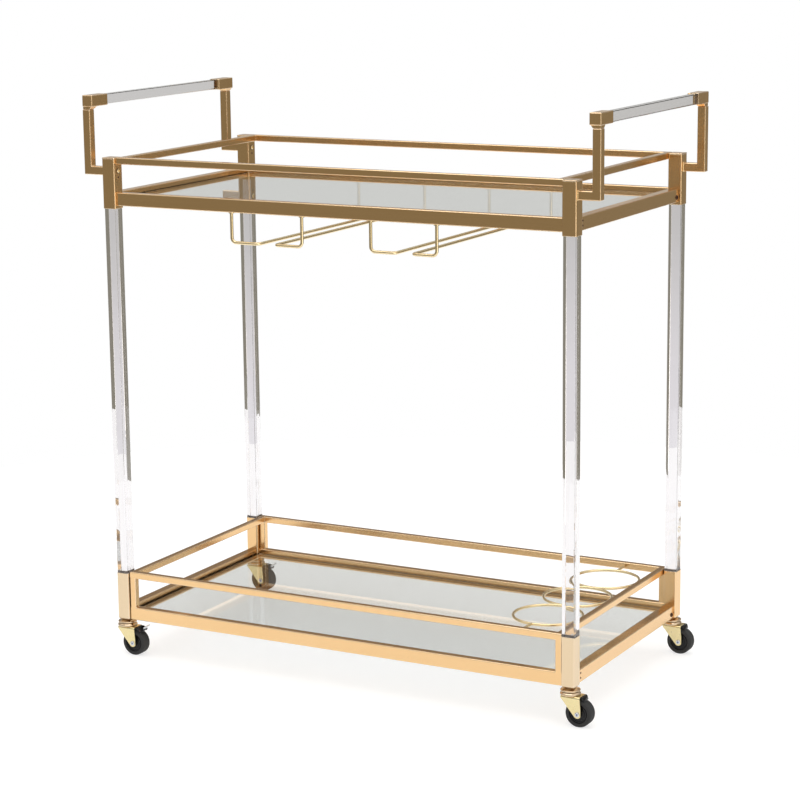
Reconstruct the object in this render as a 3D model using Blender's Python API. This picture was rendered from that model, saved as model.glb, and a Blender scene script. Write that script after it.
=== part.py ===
"""Bar cart on wheels: two glass trays in a brass frame, clear legs, two handles and four casters.

Metres, +Z up. X runs along the cart, the front faces -Y, and the floor is Z = 0.
"""
import math

import bmesh
import bpy
from mathutils import Matrix, Vector

# ---------------------------------------------------------------- driving dimensions (metres)
WIDTH = 0.8306                  # over the two handles
DEPTH = 0.4039                  # over the round swivel cups of the casters
HEIGHT = 0.8509                 # floor to the top of the handles
GAP = 0.0003                    # clearance between pieces that touch

SLEEVE_X = 0.3710               # centre of the square corner sleeves
UPPER_SLEEVE = 0.0214           # outer side of the upper sleeves
LOWER_SLEEVE = 0.0203
SLEEVE_ROUND = 0.0022           # corner radius of the sleeves
SLEEVE_BORE = 0.0191            # inner side of the sleeves
UPPER_SLEEVE_Z = (0.6855, 0.7590)
LOWER_SLEEVE_Z = (0.0550, 0.1285)
SLEEVE_FLOOR = 0.003            # bottom plate of a lower sleeve
SLEEVE_TAPER = 0.0022           # chamfer round the foot of a lower sleeve
CAP_SIDE = 0.0218
CAP_THICK = 0.0015

LEG = 0.0188                    # side of the clear square legs
LEG_ROUND = 0.0010
LEG_INSERT = 0.045              # how far a leg sits inside each sleeve

FRAME_OUT_X = 0.3775            # outer face of the end beams
FRAME_INSET_Y = 0.0042          # front and back beams behind the sleeves' outer faces
BEAM_HIGH = 0.0195
BEAM_WIDE_END = 0.0145
BEAM_WIDE_LONG = 0.0120
LEDGE_WIDE = 0.0120             # ledge that carries the glass
LEDGE_THICK = 0.0020
LEDGE_DROP = 0.0128             # beam top down to ledge top
UPPER_BEAM_TOP = 0.7095
LOWER_BEAM_TOP = 0.0755
RAIL = 0.0098                   # side of the square gallery rails and posts
RAIL_OUT_X = 0.3600
UPPER_RAIL_TOP = 0.7612
LOWER_RAIL_TOP = 0.1310
EDGE = 0.0008                   # small chamfer along tubes

GLASS_THICK = 0.0050
GLASS_HALF_X = 0.3596

ARM = 0.0124                    # side of the square handle tube
ARM_Z = 0.7345                  # underside of the lower arm
ARM_INSET_Y = 0.0032            # arm face behind the sleeve's outer face
BLOCK = (0.0172, 0.0410, 0.0167)
COLLAR = 0.0040                 # taper from a corner block down to the tube
BAR = (0.0118, 0.0146)          # clear grip bar, wide and high
BAR_INSET = 0.0012              # grip bar behind the block's outer face
BAR_INSERT = 0.0120             # how far the bar sits in each block
POCKET_PLAY = 0.0003

WIRE_R = 0.0024
WIRE_BEND = 0.0070
WIRE_Z = 0.6460
FLANGE_R = 0.0042
FLANGE_HIGH = 0.0012
WINE_CHANNELS = ((-0.1650, -0.0480), (0.0635, 0.1675))   # outer drops of each channel
WINE_SLOT = 0.0270              # distance between the two long runs of a channel

RING_R = 0.0499
RING_WIRE_R = 0.0021
RING_X = 0.2977
RING_PITCH = 0.1028
RING_Z = 0.1260
STUB_X = 0.2950

WHEEL_R = 0.0195
WHEEL_HALF = 0.0085
WHEEL_BORE_R = 0.0023
TRAIL = 0.0150                  # axle behind the swivel axis
AXLE_R = 0.0020
LUG_R = 0.0057                  # round end of a fork cheek
RIVET_R = 0.0036
RIVET_HIGH = 0.0012
CHEEK_IN = 0.0098               # inner face of a fork cheek
CHEEK_OUT = 0.0114
FORK_X = (-0.0105, 0.0185)      # ends of the crown along the fork
CROWN_Z = (0.0426, 0.0444)
RACE_R = 0.0150
CUP_Z = (0.0497, 0.0547)        # fixed upper cup of the swivel
STEM_R = 0.0034
STEM_TOP = 0.0800
STEM_HOLE_R = 0.0038
GUARD_START = 0.0188            # guard begins just past the crown
GUARD_HALF = 0.0084
EAR_IN = 0.0063                 # inner face of a guard's ear
BRAKE_HALF = 0.0060
BRAKE_PIVOT = (0.0275, 0.0400)  # X and Z from the swivel axis and the floor
BRAKE_PIN_R = 0.0010
BRAKE_BORE_R = 0.0013

CORNERS = {"front_left": (-1, -1), "front_right": (1, -1), "back_left": (-1, 1), "back_right": (1, 1)}
BRAKED = ("front_left", "back_left")

SLEEVE_Y = DEPTH / 2 - RACE_R
SLEEVE_OUT_Y = SLEEVE_Y + UPPER_SLEEVE / 2
FRAME_OUT_Y = SLEEVE_OUT_Y - FRAME_INSET_Y
GLASS_HALF_Y = FRAME_OUT_Y - BEAM_WIDE_LONG - 0.0004
WIRE_DROP_Y = FRAME_OUT_Y - BEAM_WIDE_LONG / 2      # drops stand under the middle of the long beams
HANDLE_OUT_Y = SLEEVE_OUT_Y - ARM_INSET_Y

# ---------------------------------------------------------------- materials
FINISHES = {
    "brass": ((0.80, 0.58, 0.33), 0.28, 1.0, 0.0),
    "acrylic": ((0.95, 0.96, 0.97), 0.05, 0.0, 0.95),
    "glass": ((0.90, 0.94, 0.93), 0.02, 0.0, 0.95),
    "caster_brass": ((0.74, 0.56, 0.26), 0.25, 1.0, 0.0),
    "black_rubber": ((0.02, 0.02, 0.02), 0.45, 0.0, 0.0),
    "black_plastic": ((0.03, 0.03, 0.03), 0.35, 0.0, 0.0),
    "zinc": ((0.75, 0.77, 0.80), 0.25, 1.0, 0.0),
}


def clear_scene():
    for item in list(bpy.data.objects):
        bpy.data.objects.remove(item, do_unlink=True)


def finish(name):
    """The Principled material of one finish, made once."""
    if name in bpy.data.materials:
        return bpy.data.materials[name]
    colour, roughness, metallic, clear = FINISHES[name]
    material = bpy.data.materials.new(name)
    material.use_nodes = True
    shader = material.node_tree.nodes["Principled BSDF"]
    shader.inputs["Base Color"].default_value = (*colour, 1.0)
    shader.inputs["Roughness"].default_value = roughness
    shader.inputs["Metallic"].default_value = metallic
    shader.inputs["Transmission Weight"].default_value = clear
    return material


def add(name, mesh_data, look, smooth=False):
    """Link a mesh as one named sub-part."""
    item = bpy.data.objects.new(name, mesh_data)
    bpy.context.scene.collection.objects.link(item)
    mesh_data.materials.clear()
    mesh_data.materials.append(finish(look))
    if smooth:
        mesh_data.shade_smooth()
        mesh_data.set_sharp_from_angle(angle=math.radians(35))
    return item


def mesh_from(bm, name):
    bmesh.ops.recalc_face_normals(bm, faces=bm.faces)
    data = bpy.data.meshes.new(name)
    bm.to_mesh(data)
    bm.free()
    return data


def loft(sections, closed=False):
    """A solid through equal rings of points; closed joins the last ring to the first."""
    bm = bmesh.new()
    rings = [[bm.verts.new(point) for point in section] for section in sections]
    pairs = list(zip(rings, rings[1:]))
    if closed:
        pairs.append((rings[-1], rings[0]))
    for low, high in pairs:
        count = len(low)
        for i in range(count):
            j = (i + 1) % count
            bm.faces.new((low[i], low[j], high[j], high[i]))
    if not closed:
        bm.faces.new(list(reversed(rings[0])))
        bm.faces.new(rings[-1])
    return bm


def rounded_square(side, radius, steps=3):
    """Points of a square with round corners, anticlockwise, centred on the origin."""
    points = []
    inner = side / 2 - radius
    for quarter in range(4):
        centre = Vector((inner, inner)).to_3d()
        centre.rotate(Matrix.Rotation(quarter * math.pi / 2, 3, "Z"))
        for step in range(steps + 1):
            angle = quarter * math.pi / 2 + step / steps * math.pi / 2
            points.append((centre.x + radius * math.cos(angle), centre.y + radius * math.sin(angle)))
    return points


def at_height(points, z, x=0.0, y=0.0):
    return [(px + x, py + y, z) for px, py in points]


def block(low, high, edge):
    """A box with all its edges chamfered."""
    bm = bmesh.new()
    bmesh.ops.create_cube(bm, size=1.0)
    size = [high[i] - low[i] for i in range(3)]
    middle = [(high[i] + low[i]) / 2 for i in range(3)]
    bmesh.ops.scale(bm, vec=size, verts=bm.verts)
    bmesh.ops.translate(bm, vec=middle, verts=bm.verts)
    if edge:
        bmesh.ops.bevel(bm, geom=list(bm.edges), offset=edge, segments=1, affect="EDGES")
    return bm


def turned(profile, segments, axis="Z", centre=(0.0, 0.0, 0.0)):
    """A solid of revolution from (radius, height) points; radius 0 closes on the axis."""
    bm = bmesh.new()
    rings = []
    for radius, height in profile:
        ring = []
        for i in range(segments):
            angle = 2 * math.pi * i / segments
            ring.append((radius * math.cos(angle), radius * math.sin(angle), height))
        rings.append([bm.verts.new(point) for point in ring] if radius > 0 else [bm.verts.new((0, 0, height))])
    closed = profile[0][0] > 0 and profile[-1][0] > 0
    pairs = list(zip(rings, rings[1:])) + ([(rings[-1], rings[0])] if closed else [])
    for low, high in pairs:
        for i in range(segments):
            j = (i + 1) % segments
            if len(low) == 1:
                bm.faces.new((low[0], high[j], high[i]))
            elif len(high) == 1:
                bm.faces.new((low[i], low[j], high[0]))
            else:
                bm.faces.new((low[i], low[j], high[j], high[i]))
    if axis == "Y":
        bmesh.ops.rotate(bm, cent=(0, 0, 0), matrix=Matrix.Rotation(-math.pi / 2, 3, "X"), verts=bm.verts)
    bmesh.ops.translate(bm, vec=centre, verts=bm.verts)
    return bm


def boolean(target, cutter_mesh, operation):
    """Join or cut a mesh solid with another and keep the plain result."""
    base = bpy.data.objects.new("base", target)
    tool = bpy.data.objects.new("tool", cutter_mesh)
    for item in (base, tool):
        bpy.context.scene.collection.objects.link(item)
    step = base.modifiers.new("step", "BOOLEAN")
    step.operation = operation
    step.object = tool
    graph = bpy.context.evaluated_depsgraph_get()
    result = bpy.data.meshes.new_from_object(base.evaluated_get(graph))
    for item in (base, tool):
        bpy.data.objects.remove(item, do_unlink=True)
    bm = bmesh.new()
    bm.from_mesh(result)
    bmesh.ops.remove_doubles(bm, verts=bm.verts, dist=0.000002)
    bmesh.ops.dissolve_limit(bm, angle_limit=math.radians(0.5), verts=bm.verts, edges=bm.edges)
    bm.to_mesh(result)
    bm.free()
    return result


def joined(*solids):
    result = mesh_from(solids[0], "joined")
    for solid in solids[1:]:
        result = boolean(result, mesh_from(solid, "piece"), "UNION")
    return result


def cut(target, *solids):
    for solid in solids:
        target = boolean(target, mesh_from(solid, "cutter"), "DIFFERENCE")
    return target


def extruded(outline, y_low, y_high):
    """An (x, z) outline pushed along Y."""
    near = [(x, y_low, z) for x, z in outline]
    far = [(x, y_high, z) for x, z in outline]
    return loft([near, far])


def arc(cx, cz, radius, start, end, steps):
    """Points of an arc in degrees."""
    points = []
    for i in range(steps + 1):
        angle = math.radians(start + (end - start) * i / steps)
        points.append((cx + radius * math.cos(angle), cz + radius * math.sin(angle)))
    return points


def frame_ring(section_x, section_y):
    """A mitred rectangular frame: each section point is (outer distance, z) on its side."""
    rings = []
    for sx, sy in ((-1, -1), (1, -1), (1, 1), (-1, 1)):
        rings.append([(sx * px, sy * py, z) for (px, z), (py, _) in zip(section_x, section_y)])
    return loft(rings, closed=True)


# ---------------------------------------------------------------- trays
def tube_section(outer, wide, low, high):
    inner = outer - wide
    return [(outer, low + EDGE), (outer, high - EDGE), (outer - EDGE, high), (inner + EDGE, high),
            (inner, high - EDGE), (inner, low + EDGE), (inner + EDGE, low), (outer - EDGE, low)]


def beam_section(outer, wide, top):
    """Beam with the ledge that carries the glass."""
    inner = outer - wide
    low = top - BEAM_HIGH
    ledge_top = top - LEDGE_DROP
    ledge_in = inner - LEDGE_WIDE
    return [(outer, low + EDGE), (outer, top - EDGE), (outer - EDGE, top), (inner + EDGE, top),
            (inner, top - EDGE), (inner, ledge_top), (ledge_in, ledge_top),
            (ledge_in, ledge_top - LEDGE_THICK), (inner, ledge_top - LEDGE_THICK),
            (inner, low + EDGE), (inner + EDGE, low), (outer - EDGE, low)]


def beam_ring(top):
    return frame_ring(beam_section(FRAME_OUT_X, BEAM_WIDE_END, top),
                      beam_section(FRAME_OUT_Y, BEAM_WIDE_LONG, top))


def rail_ring(top):
    return frame_ring(tube_section(RAIL_OUT_X, RAIL, top - RAIL, top),
                      tube_section(FRAME_OUT_Y, RAIL, top - RAIL, top))


def sleeve_cutter(sx, sy, side, z_low, z_high):
    half = side / 2 + GAP
    reach = 0.01
    x = sorted((sx * (SLEEVE_X - half), sx * (SLEEVE_X + half + reach)))
    y = sorted((sy * (SLEEVE_Y - half), sy * (SLEEVE_Y + half + reach)))
    return block((x[0], y[0], z_low), (x[1], y[1], z_high), 0.0)


def cut_corners(frame, side, top):
    for sx, sy in CORNERS.values():
        frame = cut(frame, sleeve_cutter(sx, sy, side, top - 2 * BEAM_HIGH, top + BEAM_HIGH))
    return frame


def corner_post(sx, sy):
    x = sorted((sx * RAIL_OUT_X, sx * (RAIL_OUT_X - RAIL)))
    y = sorted((sy * FRAME_OUT_Y, sy * (FRAME_OUT_Y - RAIL)))
    profile = rounded_square(RAIL, EDGE, 1)
    cx = sum(x) / 2
    cy = sum(y) / 2
    return loft([at_height(profile, LOWER_BEAM_TOP - 0.004, cx, cy),
                 at_height(profile, LOWER_RAIL_TOP - 0.004, cx, cy)])


def make_trays():
    upper = cut_corners(mesh_from(beam_ring(UPPER_BEAM_TOP), "upper"), UPPER_SLEEVE, UPPER_BEAM_TOP)
    add("upper_tray_frame", upper, "brass")
    add("upper_gallery_rail", mesh_from(rail_ring(UPPER_RAIL_TOP), "rail"), "brass")

    lower = cut_corners(mesh_from(beam_ring(LOWER_BEAM_TOP), "lower"), LOWER_SLEEVE, LOWER_BEAM_TOP)
    for sx, sy in CORNERS.values():
        lower = boolean(lower, mesh_from(corner_post(sx, sy), "post"), "UNION")
    lower = boolean(lower, mesh_from(rail_ring(LOWER_RAIL_TOP), "rail"), "UNION")
    add("lower_tray_frame", lower, "brass")

    for name, top in (("upper_glass", UPPER_BEAM_TOP), ("lower_glass", LOWER_BEAM_TOP)):
        base = top - LEDGE_DROP + GAP
        panel = block((-GLASS_HALF_X, -GLASS_HALF_Y, base), (GLASS_HALF_X, GLASS_HALF_Y, base + GLASS_THICK), EDGE)
        add(name, mesh_from(panel, name), "glass")


# ---------------------------------------------------------------- legs and sleeves
def make_corner(place, sx, sy):
    x = sx * SLEEVE_X
    y = sy * SLEEVE_Y
    bore = rounded_square(SLEEVE_BORE, SLEEVE_ROUND / 2)

    low, high = UPPER_SLEEVE_Z
    outside = rounded_square(UPPER_SLEEVE, SLEEVE_ROUND)
    tube = loft([at_height(outside, low, x, y), at_height(outside, high, x, y),
                 at_height(bore, high, x, y), at_height(bore, low, x, y)], closed=True)
    add("upper_sleeve_" + place, mesh_from(tube, "sleeve"), "brass", smooth=True)

    cap_outline = rounded_square(CAP_SIDE, SLEEVE_ROUND)
    cap_top = rounded_square(CAP_SIDE - EDGE, SLEEVE_ROUND - EDGE / 2)
    base = high + GAP
    cap = loft([at_height(cap_outline, base, x, y), at_height(cap_outline, base + CAP_THICK - EDGE / 2, x, y),
                at_height(cap_top, base + CAP_THICK, x, y)])
    add("sleeve_cap_" + place, mesh_from(cap, "cap"), "brass", smooth=True)

    low, high = LOWER_SLEEVE_Z
    outside = rounded_square(LOWER_SLEEVE, SLEEVE_ROUND)
    foot = rounded_square(LOWER_SLEEVE - 2 * SLEEVE_TAPER, SLEEVE_ROUND / 2)
    cup = loft([at_height(foot, low, x, y), at_height(outside, low + SLEEVE_TAPER, x, y),
                at_height(outside, high, x, y), at_height(bore, high, x, y),
                at_height(bore, low + SLEEVE_FLOOR, x, y)])
    hole = turned([(0, low - 0.002), (STEM_HOLE_R, low - 0.002), (STEM_HOLE_R, low + 0.006), (0, low + 0.006)],
                  16, centre=(x, y, 0))
    add("lower_sleeve_" + place, cut(mesh_from(cup, "cup"), hole), "brass", smooth=True)

    leg = rounded_square(LEG, LEG_ROUND)
    bottom = LOWER_SLEEVE_Z[1] - LEG_INSERT
    top = UPPER_SLEEVE_Z[0] + LEG_INSERT
    add("acrylic_leg_" + place, mesh_from(loft([at_height(leg, bottom, x, y), at_height(leg, top, x, y)]), "leg"),
        "acrylic", smooth=True)


# ---------------------------------------------------------------- handles
def make_handle_arm(place, sx, sy):
    """L of square tube: out from the sleeve, then up to the corner block."""
    out = WIDTH / 2
    start = SLEEVE_X + UPPER_SLEEVE / 2 + GAP
    top = HEIGHT - BLOCK[2] - COLLAR - GAP
    outline = [(start, ARM_Z), (out, ARM_Z), (out, top), (out - ARM, top), (out - ARM, ARM_Z + ARM),
               (start, ARM_Z + ARM)]
    y = sorted((sy * HANDLE_OUT_Y, sy * (HANDLE_OUT_Y - ARM)))
    bm = extruded([(sx * x, z) for x, z in outline], y[0], y[1])
    bmesh.ops.recalc_face_normals(bm, faces=bm.faces)
    bmesh.ops.bevel(bm, geom=list(bm.edges), offset=EDGE, segments=1, affect="EDGES")
    add("handle_arm_" + place, mesh_from(bm, "arm"), "brass")


def make_handle_corner(place, sx, sy):
    """Corner block with a taper down to the tube and a pocket for the grip bar."""
    out = WIDTH / 2
    y_face = HANDLE_OUT_Y
    base = HEIGHT - BLOCK[2]
    x = sorted((sx * out, sx * (out - BLOCK[0])))
    y = sorted((sy * y_face, sy * (y_face - BLOCK[1])))
    body = block((x[0], y[0], base), (x[1], y[1], HEIGHT), EDGE)
    sections = []
    for z, wide, long in ((base - COLLAR, ARM, ARM), (base + EDGE * 2, BLOCK[0] - EDGE, BLOCK[0])):
        xs = (sx * (out - EDGE), sx * (out - wide))
        ys = (sy * (y_face - EDGE), sy * (y_face - long))
        sections.append([(xs[0], ys[0], z), (xs[1], ys[0], z), (xs[1], ys[1], z), (xs[0], ys[1], z)])
    solid = joined(body, loft(sections))
    px = sorted((sx * (out - BAR_INSET + POCKET_PLAY), sx * (out - BAR_INSET - BAR[0] - POCKET_PLAY)))
    inner_end = y_face - BLOCK[1]
    py = sorted((sy * (inner_end - 0.005), sy * (inner_end + BAR_INSERT + POCKET_PLAY)))
    middle = HEIGHT - BLOCK[2] / 2
    half = BAR[1] / 2 + POCKET_PLAY
    solid = cut(solid, block((px[0], py[0], middle - half), (px[1], py[1], middle + half), 0.0))
    add("handle_corner_" + place, solid, "brass")


def make_grip(side, sx):
    out = WIDTH / 2 - BAR_INSET
    x = sorted((sx * out, sx * (out - BAR[0])))
    reach = HANDLE_OUT_Y - BLOCK[1] + BAR_INSERT
    middle = HEIGHT - BLOCK[2] / 2
    bar = block((x[0], -reach, middle - BAR[1] / 2), (x[1], reach, middle + BAR[1] / 2), EDGE)
    add("handle_bar_" + side, mesh_from(bar, "bar"), "acrylic")


# ---------------------------------------------------------------- bent wire
def rounded_path(corners, radius, steps):
    """Straight runs joined by arcs of the bend radius."""
    points = [Vector(corners[0])]
    for before, corner, after in zip(corners, corners[1:], corners[2:]):
        corner = Vector(corner)
        toward = (Vector(before) - corner).normalized()
        away = (Vector(after) - corner).normalized()
        centre = corner + (toward + away) * radius
        for i in range(steps + 1):
            angle = i / steps * math.pi / 2
            points.append(centre - away * radius * math.cos(angle) - toward * radius * math.sin(angle))
    points.append(Vector(corners[-1]))
    return points


def swept(points, radii, sides):
    """A round tube along a path, its rings carried along without twist."""
    direction = (points[1] - points[0]).normalized()
    normal = direction.orthogonal().normalized()
    sections = []
    for i, point in enumerate(points):
        ahead = points[min(i + 1, len(points) - 1)]
        behind = points[max(i - 1, 0)]
        if (ahead - behind).length > 1e-9:
            new_direction = (ahead - behind).normalized()
            normal.rotate(direction.rotation_difference(new_direction))
            direction = new_direction
        side = direction.cross(normal)
        ring = []
        for k in range(sides):
            angle = 2 * math.pi * k / sides
            ring.append(point + (normal * math.cos(angle) + side * math.sin(angle)) * radii[i])
        sections.append(ring)
    return loft(sections)


def make_wine_rail(name, drop_x, run_x):
    """One wire: down from the front beam, inward, along the tray and up to the back beam."""
    top = UPPER_BEAM_TOP - BEAM_HIGH - GAP
    corners = []
    for y in (-WIRE_DROP_Y, WIRE_DROP_Y):
        stretch = [(drop_x, y, top), (drop_x, y, WIRE_Z), (run_x, y, WIRE_Z)]
        corners += stretch if y < 0 else list(reversed(stretch))
    path = rounded_path(corners, WIRE_BEND, 4)
    down = Vector((0, 0, -FLANGE_HIGH))
    small = Vector((0, 0, -0.0001))
    path = [path[0], path[0] + down, path[0] + down + small] + path[1:]
    path = path[:-1] + [path[-1] + down + small, path[-1] + down, path[-1]]
    radii = [WIRE_R] * len(path)
    for i in (0, 1, -1, -2):
        radii[i] = FLANGE_R
    add(name, mesh_from(swept(path, radii, 8), "wire"), "brass", smooth=True)


def make_wine_rails():
    names = ("wine_rail_1", "wine_rail_2", "wine_rail_3", "wine_rail_4")
    wires = []
    for left, right in WINE_CHANNELS:
        middle = (left + right) / 2
        wires.append((left, middle - WINE_SLOT / 2))
        wires.append((right, middle + WINE_SLOT / 2))
    for name, (drop_x, run_x) in zip(names, wires):
        make_wine_rail(name, drop_x, run_x)


def ring_of_wire(y):
    sections = []
    count = 24
    for i in range(count):
        angle = 2 * math.pi * i / count
        outward = Vector((math.cos(angle), math.sin(angle), 0))
        centre = Vector((RING_X, y, RING_Z)) + outward * RING_R
        ring = []
        for k in range(6):
            turn = 2 * math.pi * k / 6
            ring.append(centre + (outward * math.cos(turn) + Vector((0, 0, 1)) * math.sin(turn)) * RING_WIRE_R)
        sections.append(ring)
    return loft(sections, closed=True)


def make_bottle_rings():
    """Three wire rings in a row, welded to each other, with a stub to the front and the back rail."""
    solids = [ring_of_wire(y) for y in (-RING_PITCH, 0.0, RING_PITCH)]
    inside = FRAME_OUT_Y - RAIL - GAP
    for sy in (-1, 1):
        stub = turned([(0, 0), (RING_WIRE_R, 0), (RING_WIRE_R, 1), (0, 1)], 8, axis="Y")
        near = RING_PITCH + RING_R
        bmesh.ops.scale(stub, vec=(1, inside - near, 1), verts=stub.verts)
        bmesh.ops.translate(stub, vec=(STUB_X, near if sy > 0 else -inside, RING_Z), verts=stub.verts)
        solids.append(stub)
    add("bottle_rings", joined(*solids), "brass", smooth=True)


# ---------------------------------------------------------------- casters
def cheek_outline():
    """Side of the fork, X and Z from the swivel axis: wide at the crown, round at the axle."""
    back, front = FORK_X
    return [(back, CROWN_Z[1]), (back, CROWN_Z[0] - 0.001), (-0.0025, 0.0320)] \
        + arc(TRAIL, WHEEL_R, LUG_R, 215, 360, 5) + [(front, CROWN_Z[0]), (front, CROWN_Z[1])]


def make_fork(place, x, y):
    solids = []
    for sy in (-1, 1):
        faces = sorted((sy * CHEEK_IN, sy * CHEEK_OUT))
        solids.append(extruded(cheek_outline(), faces[0], faces[1]))
    crown = block((FORK_X[0], -CHEEK_OUT, CROWN_Z[0]), (FORK_X[1], CHEEK_OUT, CROWN_Z[1]), 0.0)
    low = CROWN_Z[1] - 0.0008
    high = CUP_Z[0] - GAP
    race = turned([(0, low), (RACE_R - 0.0016, low), (RACE_R, low + 0.0018), (RACE_R, high - 0.0014),
                   (RACE_R - 0.0016, high), (0, high)], 20)
    fork = joined(crown, *solids, race)
    hole = turned([(0, -0.02), (WHEEL_BORE_R, -0.02), (WHEEL_BORE_R, 0.02), (0, 0.02)], 14, axis="Y",
                  centre=(TRAIL, 0, WHEEL_R))
    fork = cut(fork, hole)
    fork.transform(Matrix.Translation((x, y, 0)))
    return add("caster_fork_" + place, fork, "caster_brass", smooth=True)


def make_stem(place, x, y):
    """Threaded stem with the fixed upper cup of the swivel."""
    low, high = CUP_Z
    profile = [(0, low), (0.0128, low), (0.0145, low + 0.0014), (0.0140, low + 0.0030), (0.0110, high - 0.0006),
               (0.0060, high), (STEM_R, high), (STEM_R, STEM_TOP - 0.0006), (STEM_R - 0.0006, STEM_TOP),
               (0, STEM_TOP)]
    add("caster_stem_" + place, mesh_from(turned(profile, 20, centre=(x, y, 0)), "stem"), "caster_brass",
        smooth=True)


def make_wheel(place, x, y):
    """Wheel with a crowned tread and a shallow dish on each side."""
    rim = [(WHEEL_BORE_R, 0.0092), (0.0060, 0.0092), (0.0066, 0.0070), (0.0145, 0.0070), (0.0155, WHEEL_HALF),
           (0.0182, WHEEL_HALF - 0.0008), (WHEEL_R, 0.0050)]
    profile = rim + [(radius, -half) for radius, half in reversed(rim)]
    wheel = turned(profile, 20, axis="Y")
    item = add("wheel_" + place, mesh_from(wheel, "wheel"), "black_rubber", smooth=True)
    item.location = (x + TRAIL, y, WHEEL_R)
    return item


def make_axle(place, x, y):
    end = CHEEK_OUT + GAP
    profile = [(0, -end - RIVET_HIGH), (RIVET_R - 0.0008, -end - RIVET_HIGH), (RIVET_R, -end), (AXLE_R, -end),
               (AXLE_R, end), (RIVET_R, end), (RIVET_R - 0.0008, end + RIVET_HIGH), (0, end + RIVET_HIGH)]
    add("axle_" + place, mesh_from(turned(profile, 14, axis="Y", centre=(x + TRAIL, y, WHEEL_R)), "axle"),
        "zinc", smooth=True)


def make_guard(place, x, y):
    """Black guard behind the crown; with a brake it carries two ears for the lever's pin."""
    over_wheel = WHEEL_R + 0.0013
    under = arc(TRAIL, WHEEL_R, over_wheel, 64, 79.5, 3)
    outline = [(GUARD_START, 0.0465)] + list(reversed(under)) + [(0.0240, 0.0455)]
    solid = mesh_from(extruded(outline, -GUARD_HALF, GUARD_HALF), "guard")
    if place in BRAKED:
        px, pz = BRAKE_PIVOT
        for sy in (-1, 1):
            faces = sorted((sy * EAR_IN, sy * GUARD_HALF))
            ear = arc(px, pz, 0.0030, -60, 90, 4) + [(0.0225, 0.0445)] + arc(TRAIL, WHEEL_R, over_wheel, 68, 56, 2)
            solid = boolean(solid, mesh_from(extruded(ear, faces[0], faces[1]), "ear"), "UNION")
        hole = turned([(0, -0.01), (BRAKE_BORE_R, -0.01), (BRAKE_BORE_R, 0.01), (0, 0.01)], 10, axis="Y",
                      centre=(px, 0, pz))
        solid = cut(solid, hole)
    solid.transform(Matrix.Translation((x, y, 0)))
    add("caster_guard_" + place, solid, "black_plastic")


def make_brake(place, x, y):
    """Brake lever on its pin: a cam over the tread and a pedal that points out and up."""
    px, pz = BRAKE_PIVOT
    outline = arc(0, 0, 0.0027, 120, 300, 6) + [(0.0028, -0.0016), (0.0118, 0.0036), (0.0112, 0.0058),
                                                (0.0030, 0.0018)]
    lever = mesh_from(extruded(outline, -BRAKE_HALF, BRAKE_HALF), "lever")
    bore = turned([(0, -0.01), (BRAKE_BORE_R, -0.01), (BRAKE_BORE_R, 0.01), (0, 0.01)], 10, axis="Y")
    lever = cut(lever, bore)
    item = add("brake_lever_" + place, lever, "black_plastic")
    item.location = (x + px, y, pz)
    pin = turned([(0, -0.0088), (BRAKE_PIN_R, -0.0088), (BRAKE_PIN_R, 0.0088), (0, 0.0088)], 10, axis="Y",
                 centre=(x + px, y, pz))
    add("brake_pin_" + place, mesh_from(pin, "pin"), "zinc", smooth=True)


def make_caster(place, sx, sy):
    x = sx * SLEEVE_X
    y = sy * SLEEVE_Y
    make_stem(place, x, y)
    make_fork(place, x, y)
    make_axle(place, x, y)
    make_wheel(place, x, y)
    make_guard(place, x, y)
    if place in BRAKED:
        make_brake(place, x, y)


def main():
    clear_scene()
    make_trays()
    make_wine_rails()
    make_bottle_rings()
    for place, (sx, sy) in CORNERS.items():
        make_corner(place, sx, sy)
        make_handle_arm(place, sx, sy)
        make_handle_corner(place, sx, sy)
        make_caster(place, sx, sy)
    for side, sx in (("left", -1), ("right", 1)):
        make_grip(side, sx)


main()
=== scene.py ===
"""Finish of the rolling bar cart: brass, glass and clear acrylic, bent wire, screws and detailed casters."""
import math

import bmesh
import bpy
from bpy.props import FloatProperty, FloatVectorProperty, IntProperty, PointerProperty
from mathutils import Euler, Matrix, Vector


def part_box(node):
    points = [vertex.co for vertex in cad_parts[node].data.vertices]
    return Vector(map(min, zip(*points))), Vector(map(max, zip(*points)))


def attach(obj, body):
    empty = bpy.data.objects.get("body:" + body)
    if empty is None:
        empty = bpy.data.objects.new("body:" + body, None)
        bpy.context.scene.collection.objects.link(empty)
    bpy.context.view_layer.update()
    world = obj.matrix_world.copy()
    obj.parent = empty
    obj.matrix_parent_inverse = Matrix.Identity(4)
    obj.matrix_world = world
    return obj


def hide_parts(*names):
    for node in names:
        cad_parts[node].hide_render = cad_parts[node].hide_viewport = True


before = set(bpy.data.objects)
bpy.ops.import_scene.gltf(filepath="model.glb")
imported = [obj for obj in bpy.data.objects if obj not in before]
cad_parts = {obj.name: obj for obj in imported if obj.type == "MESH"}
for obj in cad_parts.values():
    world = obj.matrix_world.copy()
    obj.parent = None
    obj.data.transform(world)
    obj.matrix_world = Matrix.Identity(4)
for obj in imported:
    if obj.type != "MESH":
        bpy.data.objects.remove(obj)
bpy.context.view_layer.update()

bl_info = {
    "name": "Bar Cart Finish",
    "version": (1, 0, 0),
    "blender": (4, 5, 0),
    "location": "View3D > Sidebar > Bar Cart",
    "description": "Finishes a rolling bar cart: metals, clear parts, bent wire, screws and casters",
    "category": "Add Mesh",
}

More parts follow.
